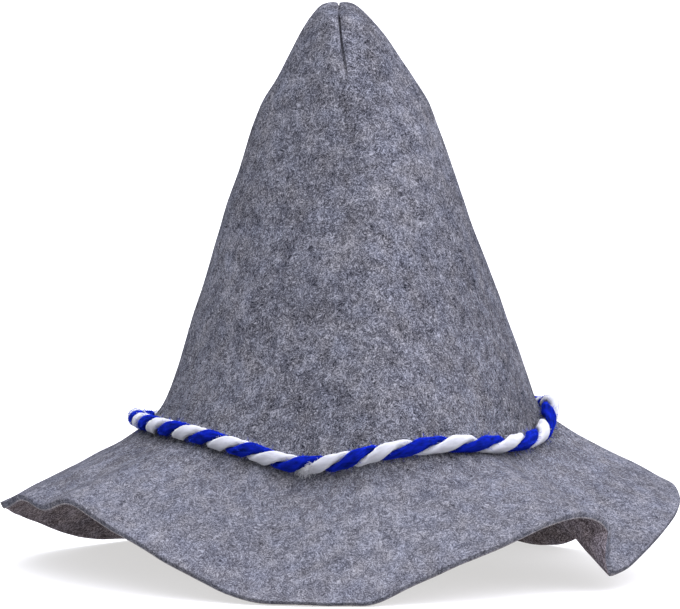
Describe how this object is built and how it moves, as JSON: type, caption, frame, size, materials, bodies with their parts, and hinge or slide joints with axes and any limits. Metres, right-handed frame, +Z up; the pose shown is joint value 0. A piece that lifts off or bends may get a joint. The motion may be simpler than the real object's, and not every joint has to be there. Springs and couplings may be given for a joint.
{
  "type": "alpine hat",
  "caption": "Tall conical felt hat with a pinched tip and a floppy wavy brim, open below for the head, with a blue and white twisted wool cord round the foot of the crown.",
  "frame": {"origin": "on the surface that the brim rests on, under the middle of the hat's box", "axes": "+Z up along the crown, -Y out of the hat's front, +X towards the wearer's left"},
  "size_m": [0.2976, 0.2918, 0.2475],
  "materials": {
    "felt": "needled grey wool felt, heathered, matt",
    "blue_wool": "soft spun royal blue wool, matt",
    "white_wool": "soft spun white wool, matt"
  },
  "bodies": {
    "root": {"felt_body": "felt", "cord_blue": "blue_wool", "cord_white": "white_wool"}
  },
  "joints": []
}
